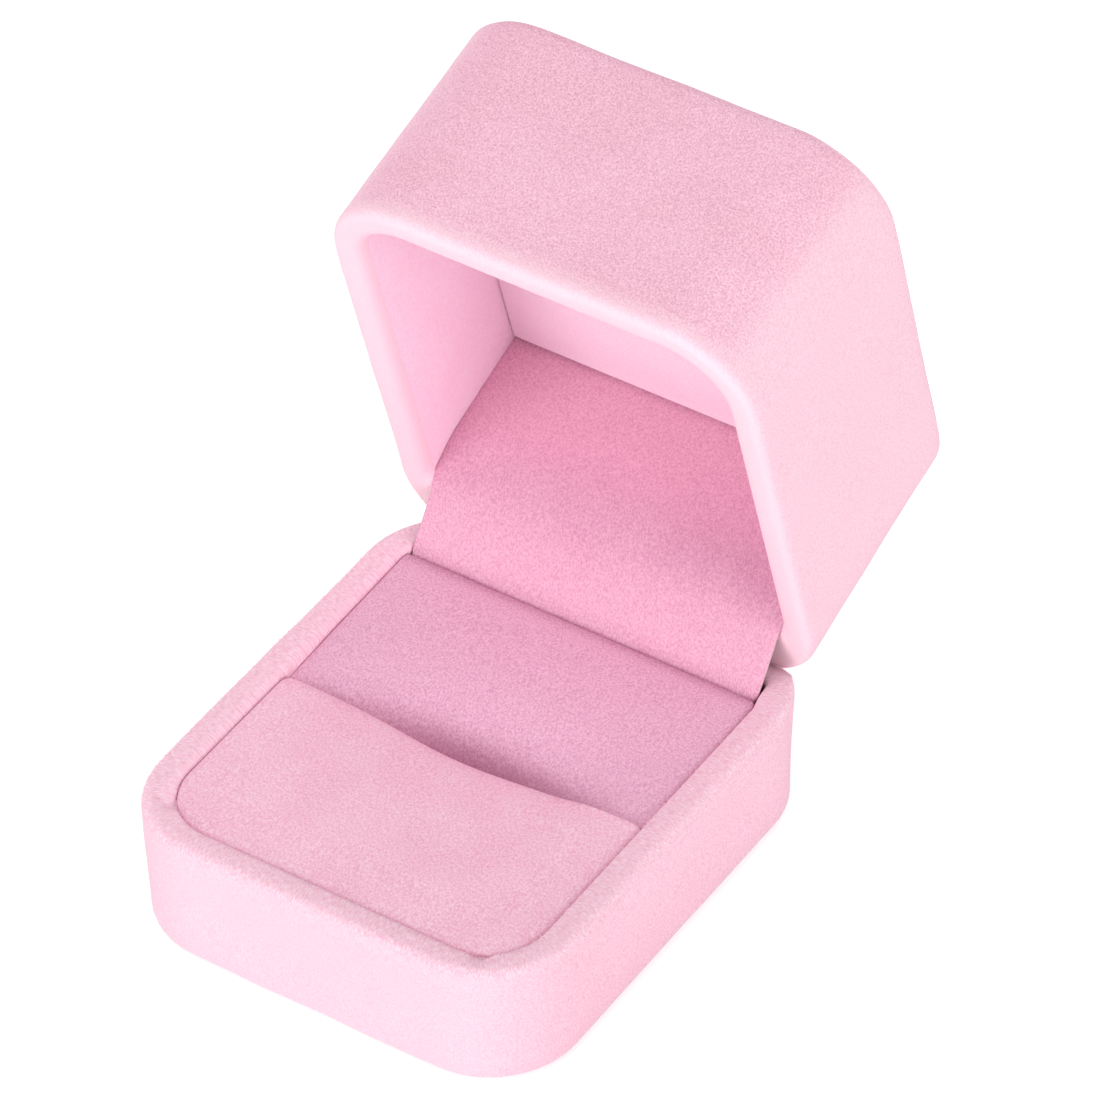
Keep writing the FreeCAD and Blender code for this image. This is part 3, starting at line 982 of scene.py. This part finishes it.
def makeFrontPad():
    below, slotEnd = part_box("front_pad_velvet")
    low, high = Vector((-padHalf, padFront, below.z)), Vector((padHalf, slotEnd.y, frontPad["top"]))
    piece = addBlock("frontPad", low, high)
    roundEnd(low.y, padCorner, box["padSteps"])
    for side, radius in zip((-1, 1), frontPad["slotCorners"]):
        corner = Vector((side * padHalf, high.y, 0))
        roundUprights(radius, frontPad["slotSteps"], lambda edge: (middle(edge) - corner).xy.length < mm)
    roundLevel(1, frontPad["edgeRound"], padding["edgeSteps"])
    gridded(piece, low, high, padding["levels"])

    def lip(point):
        near = smoothStep(point.y, high.y - frontPad["lipDepth"], high.y)
        lifted = smoothStep(high.z - point.z, *frontPad["lipLift"])
        pressed = frontPad["lipBow"] * bell(point.x - frontPad["bowMiddle"], frontPad["bowReach"])
        edge = max(1 - (high.y - point.y) / frontPad["lipRound"], 0)
        edge *= 1 - slotClosing(point)
        fall = edgeFall(point, low, high + Vector((0, padding["edge"], 0)) * slotClosing(point))
        point.y += near * lifted * (frontPad["lipPlace"] - high.y - pressed)
        point.z -= lifted * (frontPad["lipDrop"] * edge**2 + fall)
        return point

    def free(point):
        return freeFace(point, low, high, high.z - point.z, frontPad["heldBelow"])

    reshape(piece, lip)
    plump(piece, free, frontPad["swell"])
    finishPad(piece, "base", ["front_pad_velvet", "front_pad_foam"], frontPadVelvet)


rearPad = {
    "front": -0.95 * mm,
    "back": 20.33 * mm,
    "undercut": 0.42 * mm,  # below its back edge the flap's foot swings past
    "undercutFrom": 14.5 * mm,
    "undercutTo": 13.9 * mm,
    "levels": (6 * mm, 9 * mm, 11 * mm, 12.6 * mm, 13.6 * mm, 14.1 * mm, 14.5 * mm),
    "top": 15.05 * mm,
    "undercutReach": 2 * mm,
    "backCorner": 0.9 * mm,
    "backSteps": 4,
    "slotCorner": 0.4 * mm,
    "slotSteps": 3,
    "edgeRound": 0.25 * mm,
    "slotTop": 14.4 * mm,  # height at the slot before the dip
    "slotRound": 1.8 * mm,
    "slotDrop": 0.6 * mm,
    "dip": 3.8 * mm,
    "dipReach": 3.2 * mm,
    "dipHalf": 11.5 * mm,
    "meet": 0.26 * mm,  # where the slot is closed
    "closedLevel": 0.7,  # and it falls less there
    "slotShade": 2.6 * mm,  # painted shade in the slot's dip
    "slotShadeMost": 0.9,
    "backShade": (-2.2 * mm, 0.6 * mm),  # and painted shade in the crease along the flap
    "backShadeMost": 0.7,
    "heldBelow": 2.4 * mm,
    "swell": 0.4 * mm,
}


def makeRearPad():
    low = Vector((-padHalf, rearPad["front"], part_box("rear_pad_velvet")[0].z))
    high = Vector((padHalf, rearPad["back"], rearPad["top"]))
    piece = addBlock("rearPad", low, high)
    roundEnd(low.y, rearPad["slotCorner"], rearPad["slotSteps"])
    roundEnd(high.y, rearPad["backCorner"], rearPad["backSteps"])
    roundLevel(1, rearPad["edgeRound"], padding["edgeSteps"])
    gridded(piece, low, high, rearPad["levels"])

    def slope(point):
        share = (point.z - low.z) / (high.z - low.z)
        closing = slotClosing(point)
        fall = (high.z - rearPad["slotTop"]) * (high.y - point.y) / (high.y - low.y)
        fall *= 1 - rearPad["closedLevel"] * closing
        edge = max(1 - (point.y - low.y) / rearPad["slotRound"], 0) * (1 - closing)
        dropping = edgeFall(point, low - Vector((0, padding["edge"], 0)) * closing, high)
        dip = rearPad["dip"] * bell(point.y - low.y, rearPad["dipReach"])
        dip *= bell(point.x - frontPad["bowMiddle"], rearPad["dipHalf"])
        point.z -= share * (fall + dip + rearPad["slotDrop"] * edge**2 + dropping)
        bend = frontPad["slotCorners"][0]
        past = min(max(bend - padHalf - point.x, 0) / bend, 1)  # it fills the front pad's round corner
        forward = bend * (1 - math.sqrt(1 - past**2)) + rearPad["meet"] * closing
        below = smoothStep(point.z, rearPad["undercutFrom"], rearPad["undercutTo"])
        under = rearPad["undercut"] * below * smoothStep(point.y, high.y - rearPad["undercutReach"], high.y)
        point.y -= forward * smoothStep(point.y, low.y + 2 * bend, low.y) + under
        return point

    def free(point):
        return freeFace(point, low, high, high.z - point.z, rearPad["heldBelow"])

    # painted shade: darker in the slot's dip and in the crease along the flap
    def shadeOfRear(place, normal):
        inSlot = bell(place.y - low.y, rearPad["slotShade"])
        inSlot *= bell(place.x - frontPad["bowMiddle"], rearPad["dipHalf"])
        atBack = smoothStep(place.y - high.y, *rearPad["backShade"])
        return min(rearPad["slotShadeMost"] * inSlot + rearPad["backShadeMost"] * atBack, 1)

    reshape(piece, slope)
    plump(piece, free, rearPad["swell"])
    brush(piece, "napAndShade", shadeOfRear)
    finishPad(piece, "base", ["rear_pad_velvet", "rear_pad_foam"], shadedRearPadVelvet)


ceilingPad = {
    "back": 15.55 * mm,
    "backLean": 0.45 * mm,  # it follows the flap
    "face": 17.6 * mm,  # above the lid rim
    "top": 23.6 * mm,
    "row": 2 * mm,  # up its sides
    "backCorner": 0.5 * mm,
    "backSteps": 3,
    "edgeRound": 0.5 * mm,
    "heldBelow": 1.2 * mm,
    "swell": 0.5 * mm,
}


def makeCeilingPad():
    low = Vector((-padHalf, padFront, lidRim + ceilingPad["face"]))
    high = Vector((padHalf, ceilingPad["back"], lidRim + ceilingPad["top"]))
    piece = addBlock("ceilingPad", low, high)
    pick("VERT", lambda point: point.co.y > 0 and point.co.z > (low.z + high.z) / 2)
    bpy.ops.transform.translate(value=(0, -ceilingPad["backLean"], 0))
    roundEnd(low.y, padCorner, box["padSteps"])
    roundEnd(high.y, ceilingPad["backCorner"], ceilingPad["backSteps"])
    roundLevel(-1, ceilingPad["edgeRound"], padding["edgeSteps"])
    gridded(piece, low, high, [low.z + ceilingPad["row"]])

    def free(point):
        return freeFace(point, low, high, point.z - low.z, ceilingPad["heldBelow"])

    plump(piece, free, ceilingPad["swell"])
    swingOpen(piece)
    finishPad(piece, "lid", ["lid_ceiling_velvet", "lid_ceiling_foam"], liningVelvet)


makeFrontPad()
makeRearPad()
makeCeilingPad()


# Materials of the parts that keep their own meshes
def plainStuff(name, look):  # a solid stuff with its own grain
    material, nodes, links, shader = newMaterial(name)
    place = nodes.new("ShaderNodeTexCoord").outputs["Object"]
    grain = noise(nodes, links, place, 1 / look["grain"], detail=4, roughness=0.6)
    grain = ramp(nodes, links, grain, 0.3, 0.7)
    links.new(blendColours(nodes, links, grain, look["dark"], look["pale"]), shader.inputs["Base Color"])
    rough = nodes.new("ShaderNodeMapRange")
    rough.inputs["To Min"].default_value, rough.inputs["To Max"].default_value = look["roughness"]
    links.new(grain, rough.inputs["Value"])
    links.new(rough.outputs["Result"], shader.inputs["Roughness"])
    shader.inputs["Metallic"].default_value = look.get("metal", 0)
    addBump(nodes, links, shader, grain, look["relief"], look["grain"])
    return material


stuffs = {
    "shell_plastic": {
        "grain": 0.5 * mm, "dark": tint(232, 205, 214), "pale": tint(240, 218, 225),
        "roughness": (0.4, 0.55), "relief": 0.08,
    },
    "card": {
        "grain": 0.3 * mm, "dark": tint(222, 205, 205), "pale": tint(240, 228, 226),
        "roughness": (0.8, 0.95), "relief": 0.25,
    },
    "foam": {
        "grain": 0.45 * mm, "dark": tint(226, 220, 206), "pale": tint(246, 242, 232),
        "roughness": (0.9, 1.0), "relief": 0.6,
    },
    "base_paper": {
        "grain": 0.35 * mm, "dark": tint(226, 190, 204), "pale": tint(240, 210, 222),
        "roughness": (0.75, 0.9), "relief": 0.2,
    },
    "hinge_steel": {
        "grain": 0.4 * mm, "dark": tint(176, 170, 160), "pale": tint(206, 200, 190),
        "roughness": (0.28, 0.42), "relief": 0.06, "metal": 1,
    },
    "spring_steel": {
        "grain": 0.3 * mm, "dark": tint(120, 122, 126), "pale": tint(160, 162, 166),
        "roughness": (0.22, 0.34), "relief": 0.05, "metal": 1,
    },
}
stuffOf = {
    "base_shell": "shell_plastic", "lid_shell": "shell_plastic",
    "insert_card": "card", "lid_ceiling_card": "card", "flap_card": "card",
    "front_pad_foam": "foam", "rear_pad_foam": "foam", "lid_ceiling_foam": "foam",
    "bottom_sheet": "base_paper",
    "hinge_base_leaf": "hinge_steel", "hinge_lid_leaf": "hinge_steel", "hinge_pin": "hinge_steel",
    "base_rivets": "hinge_steel", "lid_rivets": "hinge_steel",
    "snap_spring": "spring_steel",
}
finishes = {name: plainStuff(name, look) for name, look in stuffs.items()}
velvets = {
    "lid_velvet_wrap": lidVelvet, "lid_side_lining": liningVelvet, "lid_ceiling_velvet": liningVelvet,
    "flap_velvet": shadedFlapVelvet, "front_pad_velvet": frontPadVelvet, "rear_pad_velvet": shadedRearPadVelvet,
}
for name, node in frame["nodes"].items():
    finish = finishes[stuffOf[name]] if name in stuffOf else velvets.get(name, baseVelvet)
    node.data.materials.clear()
    node.data.materials.append(finish)
print("carried-over parts dressed")

# Camera at the photograph's viewing angle
shot = {
    "azimuth": math.radians(34.04),
    "elevation": math.radians(41.75),
    "roll": math.radians(-1.17),
    "distance": 789.6 * mm,
    "aim": Vector((0, 0, 20 * mm)),
    "right": 8.13 * mm,
    "up": 15.32 * mm,
    "lens": 258.43,
    "sensor": 36,
    "clip": (0.01, 20),
}


def placeCamera():
    turn, rise = shot["azimuth"], shot["elevation"]
    back = Vector((math.sin(turn) * math.cos(rise), -math.cos(turn) * math.cos(rise), math.sin(rise)))
    level = Vector((math.cos(turn), math.sin(turn), 0))
    upright = back.cross(level)
    right = math.cos(shot["roll"]) * level + math.sin(shot["roll"]) * upright
    up = back.cross(right)
    data = bpy.data.cameras.new("shot")
    data.lens, data.sensor_width = shot["lens"], shot["sensor"]
    data.clip_start, data.clip_end = shot["clip"]
    camera = bpy.data.objects.new("shot", data)
    bpy.context.scene.collection.objects.link(camera)
    camera.rotation_euler = Matrix((right, up, back)).transposed().to_euler()
    camera.location = shot["aim"] + back * shot["distance"] + right * shot["right"] + up * shot["up"]
    bpy.context.scene.camera = camera


placeCamera()

# Floor, room and lamps
studio = {
    "floorHalf": 4.0,
    "floorColour": tint(246, 246, 246),
    "floorLift": 0.44,  # what the camera sees on top of the light on the floor
    "ambient": 0.5,
    "lamps": {  # place, size, watts
        "frontLamp": ((-0.45, -1.1, 0.3), 0.8, 7.0),
        "rightLamp": ((1.1, -0.3, 0.3), 0.8, 6.7),
        "topLamp": ((-0.2, -0.3, 1.1), 0.8, 2.7),
        "backLamp": ((-0.3, 1.1, 0.5), 0.8, 3.0),
    },
}


def seenDirectly(nodes, links):  # 1 for the camera and for what mirrors or glass show
    path = nodes.new("ShaderNodeLightPath")
    share = path.outputs["Is Camera Ray"]
    for name in ("Is Glossy Ray", "Is Transmission Ray"):
        share = arithmetic(nodes, links, "MAXIMUM", share, path.outputs[name]).outputs[0]
    return share


def makeFloor():
    bpy.ops.object.select_all(action="DESELECT")
    bpy.ops.mesh.primitive_plane_add(size=2 * studio["floorHalf"])
    floor = bpy.context.object
    floor.name = "floor"
    material, nodes, links, shader = newMaterial("paleFloor")
    shader.inputs["Base Color"].default_value = studio["floorColour"]
    shader.inputs["Roughness"].default_value = 1
    shader.inputs["Specular IOR Level"].default_value = 0
    lift = arithmetic(nodes, links, "MULTIPLY", seenDirectly(nodes, links), studio["floorLift"])
    shader.inputs["Emission Color"].default_value = (1, 1, 1, 1)
    links.new(lift.outputs[0], shader.inputs["Emission Strength"])
    floor.data.materials.append(material)


def makeRoom():
    world = bpy.data.worlds.new("studio")
    world.use_nodes = True
    bpy.context.scene.world = world
    nodes, links = world.node_tree.nodes, world.node_tree.links
    around = nodes["Background"]
    around.inputs["Strength"].default_value = studio["ambient"]
    around.inputs["Color"].default_value = (1, 1, 1, 1)
    white = nodes.new("ShaderNodeBackground")
    white.inputs["Color"].default_value = (1, 1, 1, 1)
    mix = nodes.new("ShaderNodeMixShader")
    links.new(seenDirectly(nodes, links), mix.inputs[0])
    links.new(around.outputs[0], mix.inputs[1])
    links.new(white.outputs[0], mix.inputs[2])
    links.new(mix.outputs[0], nodes["World Output"].inputs["Surface"])
    for name, (place, size, watts) in studio["lamps"].items():
        data = bpy.data.lights.new(name, "AREA")
        data.shape, data.size, data.energy = "DISK", size, watts
        lamp = bpy.data.objects.new(name, data)
        lamp.location = place
        lamp.rotation_euler = (shot["aim"] - Vector(place)).to_track_quat("-Z", "Y").to_euler()
        bpy.context.scene.collection.objects.link(lamp)


makeFloor()
makeRoom()
bpy.context.scene.view_settings.view_transform = "Standard"
print("camera, floor and lamps done")
